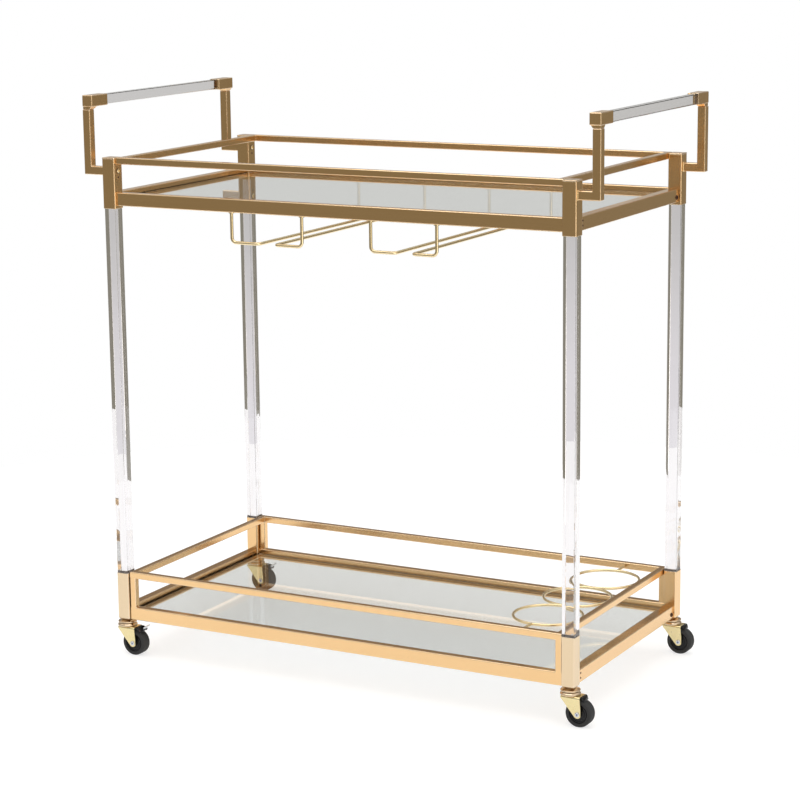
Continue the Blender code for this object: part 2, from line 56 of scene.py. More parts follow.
CORNERS = {"front_left": (-1, -1), "front_right": (1, -1), "back_left": (-1, 1), "back_right": (1, 1)}
BRAKED = ("front_left", "back_left")
MM = 0.001
HALF_BEAM = 9.75 * MM            # half the height of a tray beam
UPRIGHT = (1.0, 1.0, 0.02)       # brushing that runs up and down
ALONG = (0.02, 1.0, 1.0)         # brushing that runs along the cart
CAMERA_PLACE = (1.6886, -3.1159, 1.1261)
CAMERA_TURN, CAMERA_DIP, CAMERA_ROLL = (math.radians(degrees) for degrees in (28.37, -11.68, -0.62))


# ---------------------------------------------------------------- settings
def size(name, about, default):
    return FloatProperty(name=name, description=about, default=default, unit="LENGTH", precision=5)


def colour(name, about, default):
    return FloatVectorProperty(name=name, description=about, default=default, subtype="COLOR", min=0, max=1)


def factor(name, about, default):
    return FloatProperty(name=name, description=about, default=default, subtype="FACTOR", min=0, max=1)


class CartMetal(bpy.types.PropertyGroup):
    brass: colour("Brass", "Colour of the satin plating of the frame", (0.84, 0.57, 0.30))
    brass_shade: colour("Brass Shade", "Second tone that clouds the satin plating", (0.81, 0.53, 0.265))
    # Pale Brass and Rose Brass make a lit copy of the same satin plating: their paler tones paint in the
    # bright floor that the lower front sleeves reflect.
    pale: colour("Pale Brass", "Colour of the plating of the lower sleeves", (0.75, 0.60, 0.41))
    rose: colour("Rose Brass", "Second tone of the lower sleeves", (0.73, 0.57, 0.38))
    brass_gloss: factor("Brass Roughness", "Roughness of the satin plating", 0.20)
    caster: colour("Caster Plating", "Colour of the yellow plating of the casters", (0.81, 0.66, 0.39))
    caster_gloss: factor("Caster Roughness", "Roughness of the caster plating", 0.22)
    cup: colour("Cup Plating", "Colour of the rosy plating of the swivels", (0.66, 0.51, 0.35))
    # The pale edge tone is a painted highlight: it stands in for the bright reflections along the rounded
    # edges.
    painted_edge_highlight: colour("Painted Edge Highlight", "Paler tone of the plating along the rounded edges", (0.90, 0.77, 0.60))
    edge: size("Edge Radius", "Radius of the softly rounded edges of the tubes", 1.3 * MM)
    wire: colour("Wire Plating", "Colour of the plated wire", (0.88, 0.72, 0.44))
    bolt: colour("Bolt", "Colour of the dark bolts of the end beams", (0.10, 0.055, 0.04))
    zinc: colour("Zinc", "Colour of rivets, pins and pedal tips", (0.76, 0.78, 0.80))


class CartClear(bpy.types.PropertyGroup):
    leg: colour("Leg", "Tint of the clear legs", (0.845, 0.833, 0.846))
    grip: colour("Grip", "Tint of the clear grips", (0.940, 0.935, 0.945))
    acrylic_ior: FloatProperty(name="Acrylic IOR", description="Refraction of acrylic", default=1.49)
    glass: colour("Glass", "Tint of the shelf panels", (0.90, 0.93, 0.92))
    glass_ior: FloatProperty(name="Glass IOR", description="Refraction of the panels", default=1.52)


class CartWire(bpy.types.PropertyGroup):
    radius: size("Wire Radius", "Radius of the stemware rails", 2.4 * MM)
    bend: size("Bend Radius", "Inner line radius of each bend", 7 * MM)
    flange_radius: size("Flange Radius", "Radius of the flange under the beam", 4.2 * MM)
    flange_height: size("Flange Height", "Thickness of the flange", 1.2 * MM)
    ring_wire: size("Ring Wire", "Radius of the wire of the bottle rings", 2.1 * MM)
    sides: IntProperty(name="Sides", description="Sides of the round wire", default=20, min=8, max=48)


class CartCaster(bpy.types.PropertyGroup):
    wheel_radius: size("Wheel Radius", "Radius over the tread", 19.5 * MM)
    trail: size("Trail", "Axle behind the swivel axis", 15 * MM)
    half_width: size("Half Width", "Half the width of the tread", 8.5 * MM)
    segments: IntProperty(name="Segments", description="Facets round a turned piece", default=64,
                          min=16, max=128)


class CartScrews(bpy.types.PropertyGroup):
    head_radius: size("Head Radius", "Radius of a screw head", 3.4 * MM)
    head_height: size("Head Height", "Height of a screw head", 1.9 * MM)
    socket: size("Socket", "Half the distance across the hexagon socket", 1.5 * MM)
    pin_radius: size("Pin Radius", "Radius of the small pins", 1.4 * MM)
    pin_height: size("Pin Height", "Height of the small pins", 0.5 * MM)
    bolt_inset: size("Bolt Inset", "From the sleeve to the centre of an end beam's bolt", 7.0 * MM)
    bead: size("Weld Bead", "Radius of the weld bead where an arm leaves its sleeve", 0.8 * MM)


class CartStage(bpy.types.PropertyGroup):
    floor: colour("Floor", "Colour of the plain floor", (0.44, 0.44, 0.44))
    floor_glow: factor("Floor Glow", "Light added to the floor to soften the shadows", 0.67)
    floor_radius: size("Floor Radius", "Radius of the round sweep of floor", 1.5)
    backdrop: FloatVectorProperty(name="Backdrop", description="Direction of the bright backdrop",
                                  default=(-0.475, 0.880, 0), subtype="DIRECTION")
    side_box: FloatVectorProperty(name="Side Box", description="Direction of the tall soft box",
                                  default=(0.880, -0.475, 0), subtype="DIRECTION")
    lens: FloatProperty(name="Lens", description="Focal length on a 36 mm sensor", default=108.7,
                        unit="CAMERA")


SETTINGS = {"cart_metal": CartMetal, "cart_clear": CartClear, "cart_wire": CartWire,
            "cart_caster": CartCaster, "cart_screws": CartScrews, "cart_stage": CartStage}


# ---------------------------------------------------------------- shader node helpers
class Nodes:
    """A shader tree with short ways to add, set and link nodes."""

    def __init__(self, tree):
        self.tree = tree

    def node(self, kind, **values):
        made = self.tree.nodes.new("ShaderNode" + kind)
        for key, value in values.items():
            setattr(made, key, value)
        return made

    def link(self, start, end):
        self.tree.links.new(start, end)

    def remap(self, source, start, end, low=0.0, high=1.0, ease="LINEAR"):
        """A number that runs from start to end, moved to run from low to high."""
        ranger = self.node("MapRange", interpolation_type=ease)
        for name, value in (("From Min", start), ("From Max", end), ("To Min", low), ("To Max", high)):
            ranger.inputs[name].default_value = value
        self.link(source, ranger.inputs["Value"])
        return ranger.outputs["Result"]

    def mix(self, amount, first, second, way="MIX"):
        """Mix two colours, each either a value or the output of a node."""
        made = self.node("Mix", data_type="RGBA", blend_type=way)
        for key, source in (("Factor", amount), ("A", first), ("B", second)):
            if isinstance(source, bpy.types.NodeSocket):
                self.link(source, made.inputs[key])
            else:
                made.inputs[key].default_value = (*source, 1)
        return made.outputs["Result"]


class Shade(Nodes):
    """A Principled material with a few helpers for its node tree."""

    def __init__(self, name):
        self.material = bpy.data.materials.new(name)
        self.material.use_nodes = True
        super().__init__(self.material.node_tree)
        self.shader = self.tree.nodes["Principled BSDF"]

    def put(self, **values):
        for key, value in values.items():
            self.shader.inputs[key.replace("_", " ")].default_value = value

    def noise(self, scale, stretch=(1, 1, 1), detail=3.0):
        """Noise on object coordinates, stretched to follow a direction."""
        mapping = self.node("Mapping")
        mapping.inputs["Scale"].default_value = stretch
        grain = self.node("TexNoise")
        grain.inputs["Scale"].default_value = scale
        grain.inputs["Detail"].default_value = detail
        self.link(self.node("TexCoord").outputs["Object"], mapping.inputs["Vector"])
        self.link(mapping.outputs["Vector"], grain.inputs["Vector"])
        return grain.outputs["Fac"]

    def spread(self, source, low, high, socket):
        """Drive a number on the shader between two values by a pattern."""
        self.link(self.remap(source, 0.3, 0.7, low, high), self.shader.inputs[socket])

    def blend(self, source, first, second):
        """Colour the surface with two tones by a pattern."""
        body = self.mix(source, first, second)
        self.link(body, self.shader.inputs["Base Color"])
        return body

    def rounded_normal(self, radius, samples):
        bevel = self.node("Bevel", samples=samples)
        bevel.inputs["Radius"].default_value = radius
        return bevel.outputs["Normal"]

    def paint_edge_highlight(self, body, tone, radius):
        """Painted highlight: where the rounded normal turns away from the flat face, a pale highlight tone is
        painted into the plating colour.
        """
        turn = self.node("VectorMath", operation="DOT_PRODUCT")
        self.link(self.rounded_normal(radius, 4), turn.inputs[0])
        self.link(self.node("NewGeometry").outputs["True Normal"], turn.inputs[1])
        highlight_mask = self.remap(turn.outputs["Value"], 0.995, 0.88)
        self.blend(highlight_mask, body, tone)

    def relief(self, source, strength, depth, edge=0.0):
        """Bump from a pattern, over edges that are rounded by a radius."""
        bump = self.node("Bump")
        if edge:
            self.link(self.rounded_normal(edge, 6), bump.inputs["Normal"])
        bump.inputs["Strength"].default_value = strength
        bump.inputs["Distance"].default_value = depth
        self.link(source, bump.inputs["Height"])
        self.link(bump.outputs["Normal"], self.shader.inputs["Normal"])


def made_once(make):
    """Turn a function that sets up a shade into one that returns a material, made on first use."""
    def get(name=make.__name__, *values):
        if name not in bpy.data.materials:
            make(Shade(name), *values)
        return bpy.data.materials[name]
    return get


# ---------------------------------------------------------------- materials
@made_once
def satin_brass(shade, stretch, first, second):
    """Satin plating with fine brushing along one direction, faint clouds and a painted pale highlight along
    the rounded edges.
    """
    metal = bpy.context.scene.cart_metal
    shade.put(Metallic=1.0)
    body = shade.blend(shade.noise(9.0, detail=2.0), getattr(metal, first), getattr(metal, second))
    # Painted highlight: a pale tone painted into the colour along the rounded edges.
    shade.paint_edge_highlight(body, metal.painted_edge_highlight, metal.edge)
    brushing = shade.noise(420.0, stretch=stretch, detail=2.0)
    shade.spread(brushing, metal.brass_gloss - 0.02, metal.brass_gloss + 0.03, "Roughness")
    shade.relief(brushing, 0.03, 0.01 * MM, metal.edge)


def brass_upright():
    return satin_brass("brass_upright", UPRIGHT, "brass", "brass_shade")


# Paler copy of the satin brass for the lower front sleeves: a painted reflection of the bright floor.
def brass_pale():
    return satin_brass("brass_pale", UPRIGHT, "pale", "rose")


def brass_long():
    return satin_brass("brass_long", ALONG, "brass", "brass_shade")


@made_once
def plated(shade, base, gloss):
    """Plain plating in one colour with a fine grain."""
    shade.put(Metallic=1.0)
    shade.blend(shade.noise(40.0), base, Vector(base) * 0.94)
    grain = shade.noise(700.0)
    shade.spread(grain, gloss - 0.03, gloss + 0.04, "Roughness")
    shade.relief(grain, 0.03, 0.01 * MM)


def brass_wire():
    return plated("brass_wire", bpy.context.scene.cart_metal.wire, 0.20)


def rosy_plating():
    return plated("rosy_plating", bpy.context.scene.cart_metal.cup, 0.14)


def dark_bolt():
    return plated("dark_bolt", bpy.context.scene.cart_metal.bolt, 0.30)


def blue_eye():
    return plated("blue_eye", (0.10, 0.14, 0.30), 0.25)


@made_once
def caster_plating(shade):
    """Bright yellow plating of the casters, with a faint green and copper play of colour."""
    metal = bpy.context.scene.cart_metal
    shade.put(Metallic=1.0)
    base = Vector(metal.caster)
    shade.blend(shade.noise(55.0), base, (base.x * 0.93, base.y * 1.02, base.z * 0.92))
    grain = shade.noise(900.0, stretch=(1.0, 1.0, 0.15))
    shade.spread(grain, metal.caster_gloss - 0.05, metal.caster_gloss + 0.08, "Roughness")
    shade.relief(grain, 0.10, 0.02 * MM)


@made_once
def zinc_plating(shade):
    shade.put(Metallic=1.0)
    base = Vector(bpy.context.scene.cart_metal.zinc)
    shade.blend(shade.noise(300.0), base, base * 0.88)
    shade.spread(shade.noise(700.0), 0.22, 0.36, "Roughness")


@made_once
def clear_acrylic(shade, part):
    """Clear cast acrylic, with faint polishing waves that grow towards the feet of the legs."""
    clear = bpy.context.scene.cart_clear
    shade.put(Transmission_Weight=1.0, IOR=clear.acrylic_ior, Roughness=0.0)
    base = Vector(getattr(clear, part))
    shade.blend(shade.noise(20.0), base, base * 0.992)
    waves = shade.noise(70.0, stretch=(1.0, 1.0, 0.8), detail=1.0)
    height = shade.node("SeparateXYZ")
    shade.link(shade.node("TexCoord").outputs["Object"], height.inputs["Vector"])
    depth = shade.node("Math", operation="MULTIPLY")
    shade.link(waves, depth.inputs[0])
    shade.link(shade.remap(height.outputs["Z"], 0.22, 0.13, 0.12, 1.0, "SMOOTHSTEP"), depth.inputs[1])
    shade.relief(depth.outputs["Value"], 1.0, 0.5 * MM)


@made_once
def shelf_glass(shade):
    clear = bpy.context.scene.cart_clear
    shade.put(Transmission_Weight=1.0, IOR=clear.glass_ior, Roughness=0.0)
    base = Vector(clear.glass)
    shade.blend(shade.noise(3.0), base, base * 0.99)
    shade.relief(shade.noise(4.0, detail=1.0), 0.02, 0.5 * MM)


@made_once
def pale_liner(shade):
    """Pale bedding between a leg and its sleeve."""
    shade.blend(shade.noise(200.0), (0.85, 0.78, 0.72), (0.80, 0.72, 0.66))
    shade.put(Roughness=0.5)


@made_once
def black_rubber(shade):
    """Moulded black tread with a fine grain."""
    shade.blend(shade.noise(60.0), (0.005, 0.005, 0.005), (0.009, 0.009, 0.009))
    shade.put(Specular_IOR_Level=0.26)
    grain = shade.noise(1400.0, detail=4.0)
    shade.spread(grain, 0.12, 0.20, "Roughness")
    shade.relief(grain, 0.04, 0.03 * MM)


@made_once
def black_gloss(shade):
    """Glossy moulded black plastic."""
    shade.blend(shade.noise(80.0), (0.005, 0.005, 0.006), (0.009, 0.009, 0.010))
    shade.put(Specular_IOR_Level=0.28)
    grain = shade.noise(500.0, detail=2.0)
    shade.spread(grain, 0.10, 0.18, "Roughness")
    shade.relief(grain, 0.06, 0.04 * MM)


# ---------------------------------------------------------------- mesh helpers
def linked(name, data):
    """New object for some data, linked to the scene."""
    item = bpy.data.objects.new(name, data)
    bpy.context.scene.collection.objects.link(item)
    return item


def discard(*items):
    for item in items:
        bpy.data.objects.remove(item, do_unlink=True)


def mesh_from(bm, name):
    data = bpy.data.meshes.new(name)
    bm.to_mesh(data)
    bm.free()
    return data


def evaluated_mesh(item):
    """Mesh of an object as its modifiers leave it."""
    graph = bpy.context.evaluated_depsgraph_get()
    return bpy.data.meshes.new_from_object(item.evaluated_get(graph))


def smooth(data, sharp):
    data.shade_smooth()
    data.set_sharp_from_angle(angle=math.radians(sharp))


def piece_from(bm, name, material, sharp=32.0):
    """Link a finished mesh at the origin with one material."""
    data = mesh_from(bm, name)
    data.materials.append(material)
    smooth(data, sharp)
    return linked(name, data)


def in_mm(*points, start=(0, 0)):
    """Flat points in millimetres from a start, as metres."""
    return [(start[0] + across * MM, start[1] + along * MM) for across, along in points]


def skin(bm, rings, closed=False):
    """Faces between rings of points; a ring of one point is a tip."""
    count = max(len(ring) for ring in rings)
    pairs = list(zip(rings, rings[1:])) + ([(rings[-1], rings[0])] if closed else [])
    for low, high in pairs:
        for i in range(count):
            j = (i + 1) % count
            corners = [low[i % len(low)], low[j % len(low)], high[j % len(high)], high[i % len(high)]]
            bm.faces.new(list(dict.fromkeys(corners)))


def lathe(profile, segments, axis="Z"):
    """Turn (radius, height) points about an axis; radius 0 closes on the axis."""
    bm = bmesh.new()
    angles = [2 * math.pi * i / segments for i in range(segments)]
    rings = []
    for radius, height in profile:
        spokes = angles if radius > 0 else [0]
        rings.append([bm.verts.new((radius * math.cos(a), radius * math.sin(a), height)) for a in spokes])
    skin(bm, rings, closed=len(rings[0]) > 1 and len(rings[-1]) > 1)
    if axis == "Y":
        bmesh.ops.rotate(bm, cent=(0, 0, 0), matrix=Matrix.Rotation(-math.pi / 2, 3, "X"), verts=bm.verts)
    bmesh.ops.recalc_face_normals(bm, faces=bm.faces)
    return bm


def round_corner(centre, radius, start, end, steps=5):
    points = []
    for i in range(steps + 1):
        angle = math.radians(start + (end - start) * i / steps)
        points.append((centre[0] + radius * math.cos(angle), centre[1] + radius * math.sin(angle)))
    return points


def plate(outline, low, high, axis="Y"):
    """Push an outline along an axis: (x, z) along Y, or (y, z) along X."""
    bm = bmesh.new()
    rings = []
    for depth in (low, high):
        if axis == "Y":
            rings.append([bm.verts.new((a, depth, b)) for a, b in outline])
        else:
            rings.append([bm.verts.new((depth, a, b)) for a, b in outline])
    bm.faces.new(rings[0])
    bm.faces.new(list(reversed(rings[1])))
    count = len(outline)
    for i in range(count):
        j = (i + 1) % count
        bm.faces.new((rings[0][i], rings[1][i], rings[1][j], rings[0][j]))
    bmesh.ops.recalc_face_normals(bm, faces=bm.faces)
    return bm


def solid(bm, other, operation):
    """Boolean of two closed meshes, as a new mesh."""
    items = [linked("solid", mesh_from(source, "solid")) for source in (bm, other)]
    step = items[0].modifiers.new("step", "BOOLEAN")
    step.operation = operation
    step.object = items[1]
    data = evaluated_mesh(items[0])
    result = bmesh.new()
    result.from_mesh(data)
    bpy.data.meshes.remove(data)
    discard(*items)
    bmesh.ops.remove_doubles(result, verts=result.verts, dist=0.002 * MM)
    bmesh.ops.dissolve_limit(result, angle_limit=math.radians(0.2), verts=result.verts, edges=result.edges)
    return result


def soften(item, width, segments=2, angle=35.0):
    """Round the edges of a piece and keep the plain result."""
    bevel = item.modifiers.new("edges", "BEVEL")
    bevel.width = width
    bevel.segments = segments
    bevel.limit_method = "ANGLE"
    bevel.angle_limit = math.radians(angle)
    bevel.harden_normals = False
    data = evaluated_mesh(item)
    item.modifiers.remove(bevel)
    item.data = data
    smooth(data, 45)


def moved(item, offset):
    item.data.transform(Matrix.Translation(offset))
    return item


def centre_of(node):
    low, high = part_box(node)
    return (Vector(low) + Vector(high)) / 2


def swivel_axis(place):
    """Point on the floor under a caster's stem."""
    middle = centre_of("caster_stem_" + place)
    return Vector((middle.x, middle.y, 0))


def placed_copy(source, name, offset):
    item = linked(name, source.data.copy())
    item.data.name = name
    return moved(item, offset)


def settle(item, body, slot, *nodes):
    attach(item, body)
    if nodes:
        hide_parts(*nodes)


# ---------------------------------------------------------------- geometry node helpers
class Tree:
    """A Geometry Nodes tree with named inputs."""

    def __init__(self, name):
        self.tree = bpy.data.node_groups.new(name, "GeometryNodeTree")
        self.tree.interface.new_socket("Geometry", in_out="OUTPUT", socket_type="NodeSocketGeometry")
        self.start = None
        self.end = self.tree.nodes.new("NodeGroupOutput")

    def inputs(self, **kinds):
        for name, kind in kinds.items():
            self.tree.interface.new_socket(name.replace("_", " "), in_out="INPUT",
                                           socket_type="NodeSocket" + kind)
        self.start = self.tree.nodes.new("NodeGroupInput")

    def take(self, name):
        return self.start.outputs[name]

    def node(self, kind, settings=None, **sockets):
        made = self.tree.nodes.new(kind)
        for key, value in (settings or {}).items():
            setattr(made, key, value)
        for key, value in sockets.items():
            socket = made.inputs[key.replace("_", " ")]
            if isinstance(value, bpy.types.NodeSocket):
                self.tree.links.new(value, socket)
            else:
                socket.default_value = value
        return made

    def finish(self, geometries, material):
        """Join, realize, give the material and send to the output."""
        join = self.tree.nodes.new("GeometryNodeJoinGeometry")
        for geometry in geometries:
            self.tree.links.new(geometry, join.inputs["Geometry"])
        real = self.node("GeometryNodeRealizeInstances", Geometry=join.outputs["Geometry"])
        paint = self.node("GeometryNodeSetMaterial", Geometry=real.outputs["Geometry"], Material=material)
        self.tree.links.new(paint.outputs["Geometry"], self.end.inputs["Geometry"])

    def run(self, name, source, values):
        """Evaluate the tree on an object and keep the result as a plain piece."""
        step = source.modifiers.new("shape", "NODES")
        step.node_group = self.tree
        for socket in self.tree.interface.items_tree:
            if socket.item_type == "SOCKET" and socket.in_out == "INPUT" and socket.name in values:
                step[socket.identifier] = values[socket.name]
        data = evaluated_mesh(source)
        source.modifiers.remove(step)
        discard(source)
        data.name = name
        smooth(data, 40)
        return linked(name, data)


def line_object(points):
    """An open poly curve through corner points."""
    data = bpy.data.curves.new("line", "CURVE")
    data.dimensions = "3D"
    spline = data.splines.new("POLY")
    spline.points.add(len(points) - 1)
    for slot, point in zip(spline.points, points):
        slot.co = (*point, 1)
    return linked("line", data)


def points_object(points):
    data = bpy.data.meshes.new("places")
    data.from_pydata([tuple(p) for p in points], [], [])
    return linked("places", data)


def bent_wire_tree():
    """Corner points become one round wire with bends and a flange at each end."""
    shape = Tree("bent_wire")
    shape.inputs(Line="Geometry", Wire_Radius="Float", Bend_Radius="Float", Bend_Steps="Int", Sides="Int",
                 Flange_Radius="Float", Flange_Height="Float", Material="Material")
    bends = shape.node("GeometryNodeFilletCurve", {"mode": "POLY"}, Curve=shape.take("Line"),
                       Count=shape.take("Bend Steps"), Radius=shape.take("Bend Radius"))
    circle = shape.node("GeometryNodeCurvePrimitiveCircle", Resolution=shape.take("Sides"),
                        Radius=shape.take("Wire Radius"))
    wire = shape.node("GeometryNodeCurveToMesh", Curve=bends.outputs["Curve"],
                      Profile_Curve=circle.outputs["Curve"], Fill_Caps=True)
    ends = shape.node("GeometryNodeCurveEndpointSelection")
    flange = shape.node("GeometryNodeMeshCylinder", Vertices=24, Radius=shape.take("Flange Radius"),
                        Depth=shape.take("Flange Height"))
    half = shape.node("ShaderNodeMath", {"operation": "MULTIPLY"})
    shape.tree.links.new(shape.take("Flange Height"), half.inputs[0])
    half.inputs[1].default_value = -0.5
    drop = shape.node("ShaderNodeCombineXYZ", Z=half.outputs["Value"])
    lowered = shape.node("GeometryNodeTransform", Geometry=flange.outputs["Mesh"],
                         Translation=drop.outputs["Vector"])
    flanges = shape.node("GeometryNodeInstanceOnPoints", Points=shape.take("Line"),
                         Selection=ends.outputs["Selection"], Instance=lowered.outputs["Geometry"])
    shape.finish([wire.outputs["Mesh"], flanges.outputs["Instances"]], shape.take("Material"))
    return shape


def weld_bead_tree():
    """A round bead along a square with rounded corners, a little wavy like a weld."""
    shape = Tree("weld_bead")
    shape.inputs(Base="Geometry", Side="Float", Wire_Radius="Float", Material="Material")
    square = shape.node("GeometryNodeCurvePrimitiveQuadrilateral", Width=shape.take("Side"),
                        Height=shape.take("Side"))
    path = shape.node("GeometryNodeFilletCurve", {"mode": "POLY"}, Curve=square.outputs["Curve"], Count=5,
                      Radius=1.0 * MM)
    fine = shape.node("GeometryNodeResampleCurve", Curve=path.outputs["Curve"], Count=96)
    place = shape.node("GeometryNodeInputPosition")
    waves = shape.node("ShaderNodeTexNoise", Vector=place.outputs["Position"], Scale=900.0)
    swell = shape.node("ShaderNodeMapRange", Value=waves.outputs["Fac"], To_Min=0.75, To_Max=1.2)
    sized = shape.node("GeometryNodeSetCurveRadius", Curve=fine.outputs["Curve"],
                       Radius=swell.outputs["Result"])
    circle = shape.node("GeometryNodeCurvePrimitiveCircle", Resolution=12, Radius=shape.take("Wire Radius"))
    bead = shape.node("GeometryNodeCurveToMesh", Curve=sized.outputs["Curve"],
                      Profile_Curve=circle.outputs["Curve"], Scale=swell.outputs["Result"])
    shape.finish([bead.outputs["Mesh"]], shape.take("Material"))
    return shape


def ring_row_tree():
    """A row of wire rings along Y, with a weld bead where two touch."""
    shape = Tree("ring_row")
    shape.inputs(Base="Geometry", Count="Int", Pitch="Float", Ring_Radius="Float", Wire_Radius="Float",
                 Material="Material")
    step = shape.node("ShaderNodeCombineXYZ", Y=shape.take("Pitch"))
    row = shape.node("GeometryNodeMeshLine", Count=shape.take("Count"), Offset=step.outputs["Vector"])
    path = shape.node("GeometryNodeCurvePrimitiveCircle", Resolution=96, Radius=shape.take("Ring Radius"))
    section = shape.node("GeometryNodeCurvePrimitiveCircle", Resolution=16, Radius=shape.take("Wire Radius"))
    ring = shape.node("GeometryNodeCurveToMesh", Curve=path.outputs["Curve"],
                      Profile_Curve=section.outputs["Curve"])
    rings = shape.node("GeometryNodeInstanceOnPoints", Points=row.outputs["Mesh"],
                       Instance=ring.outputs["Mesh"])
    fewer = shape.node("ShaderNodeMath", {"operation": "SUBTRACT"})
    shape.tree.links.new(shape.take("Count"), fewer.inputs[0])
    fewer.inputs[1].default_value = 1
    half = shape.node("ShaderNodeMath", {"operation": "MULTIPLY"})
    shape.tree.links.new(shape.take("Pitch"), half.inputs[0])
    half.inputs[1].default_value = 0.5
    first = shape.node("ShaderNodeCombineXYZ", Y=half.outputs["Value"])
    touching = shape.node("GeometryNodeMeshLine", Count=fewer.outputs["Value"], Offset=step.outputs["Vector"],
                          Start_Location=first.outputs["Vector"])
    bead = shape.node("GeometryNodeMeshUVSphere", Segments=16, Rings=8, Radius=2.4 * MM)
    long_bead = shape.node("GeometryNodeTransform", Geometry=bead.outputs["Mesh"], Scale=(2.2, 1.0, 0.8))
    beads = shape.node("GeometryNodeInstanceOnPoints", Points=touching.outputs["Mesh"],
                       Instance=long_bead.outputs["Geometry"])
    shape.finish([rings.outputs["Instances"], beads.outputs["Instances"]], shape.take("Material"))
    return shape


def screw_row_tree(name):
    """Copies of one screw head on points, all turned the same way."""
    shape = Tree(name)
    shape.inputs(Places="Geometry", Head="Object", Turn="Rotation", Material="Material")
    head = shape.node("GeometryNodeObjectInfo", Object=shape.take("Head"))
    row = shape.node("GeometryNodeInstanceOnPoints", Points=shape.take("Places"),
                     Instance=head.outputs["Geometry"], Rotation=shape.take("Turn"))
    shape.finish([row.outputs["Instances"]], shape.take("Material"))
    return shape


# ---------------------------------------------------------------- operators
class CART_OT_plate_frame(bpy.types.Operator):
    """Give the frame, sleeves and handles their satin brass plating"""
    bl_idname = "cart.plate_frame"
    bl_label = "Plate Brass Frame"

    def execute(self, context):
        # The lower front sleeves take the paler copy of the brass, a painted reflection of the bright floor;
        # the lower back sleeves keep the plain plating.
        looks = {"upper_tray_frame": brass_long, "lower_tray_frame": brass_long,
                 "upper_gallery_rail": brass_long, "upper_sleeve_": brass_upright,
                 "lower_sleeve_front": brass_pale, "lower_sleeve_back": brass_upright,
                 "sleeve_cap_": brass_upright, "handle_arm_": brass_upright, "handle_corner_": brass_long}
        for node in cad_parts:
            for start, look in looks.items():
                if node.startswith(start):
                    paint(node, look())
        return {"FINISHED"}


class CART_OT_clear_parts(bpy.types.Operator):
    """Give the legs and grips clear acrylic and the shelves clear glass"""
    bl_idname = "cart.clear_parts"
    bl_label = "Make Clear Parts"

    def execute(self, context):
        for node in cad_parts:
            for start, part in (("acrylic_leg_", "leg"), ("handle_bar_", "grip")):
                if node.startswith(start):
                    paint(node, clear_acrylic("clear_" + part, part))
            if node.endswith("_glass"):
                paint(node, shelf_glass())
        return {"FINISHED"}


class CART_OT_wine_rails(bpy.types.Operator):
    """Bend the stemware rails under the upper tray"""
    bl_idname = "cart.wine_rails"
    bl_label = "Bend Wine Rails"

    def execute(self, context):
        wire = context.scene.cart_wire
        tree = bent_wire_tree()
        for number in range(1, 5):
            node = f"wine_rail_{number}"
            low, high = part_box(node)
            bottom = low[2] + wire.radius
            inward = 1 if number % 2 else -1
            if inward > 0:
                drop_x, run_x = low[0] + wire.flange_radius, high[0] - wire.radius
            else:
                drop_x, run_x = high[0] - wire.flange_radius, low[0] + wire.radius
            reach = high[1] - wire.flange_radius
            corners = []
            for y in (-reach, reach):
                stretch = [(drop_x, y, high[2]), (drop_x, y, bottom), (run_x, y, bottom)]
                corners += stretch if y < 0 else list(reversed(stretch))
            values = {"Wire Radius": wire.radius, "Bend Radius": wire.bend, "Bend Steps": 10,
                      "Sides": wire.sides, "Flange Radius": wire.flange_radius,
                      "Flange Height": wire.flange_height, "Material": brass_wire()}
            item = tree.run(f"wine_wire_{number}", line_object(corners), values)
            settle(item, "cart", "brass", node)
        return {"FINISHED"}


class CART_OT_bottle_rings(bpy.types.Operator):
    """Weld the row of bottle rings between the lower gallery rails"""
    bl_idname = "cart.bottle_rings"
    bl_label = "Weld Bottle Rings"

    def execute(self, context):
        wire = context.scene.cart_wire
        low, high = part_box("bottle_rings")
        radius = (high[0] - low[0]) / 2 - wire.ring_wire
        middle = ((low[0] + high[0]) / 2, 0, (low[2] + high[2]) / 2)
        pitch = 2 * (radius + wire.ring_wire) - 1.2 * MM
        values = {"Count": 3, "Pitch": pitch, "Ring Radius": radius, "Wire Radius": wire.ring_wire,
                  "Material": brass_wire()}
        rings = ring_row_tree().run("bottle_ring_row", points_object([(0, 0, 0)]), values)
        moved(rings, Vector(middle) - Vector((0, pitch, 0)))
        settle(rings, "cart", "brass", "bottle_rings")
        near = pitch + radius
        for side, sign in (("front", -1), ("back", 1)):
            length = high[1] - near
            stub = lathe([(0, 0), (wire.ring_wire, 0), (wire.ring_wire, length), (0, length)], 20, "Y")
            item = piece_from(stub, f"ring_stub_{side}", brass_wire())
            start = near if sign > 0 else -high[1]
            moved(item, (middle[0] - 2.7 * MM, start, middle[2]))
            settle(item, "cart", "brass")
        return {"FINISHED"}


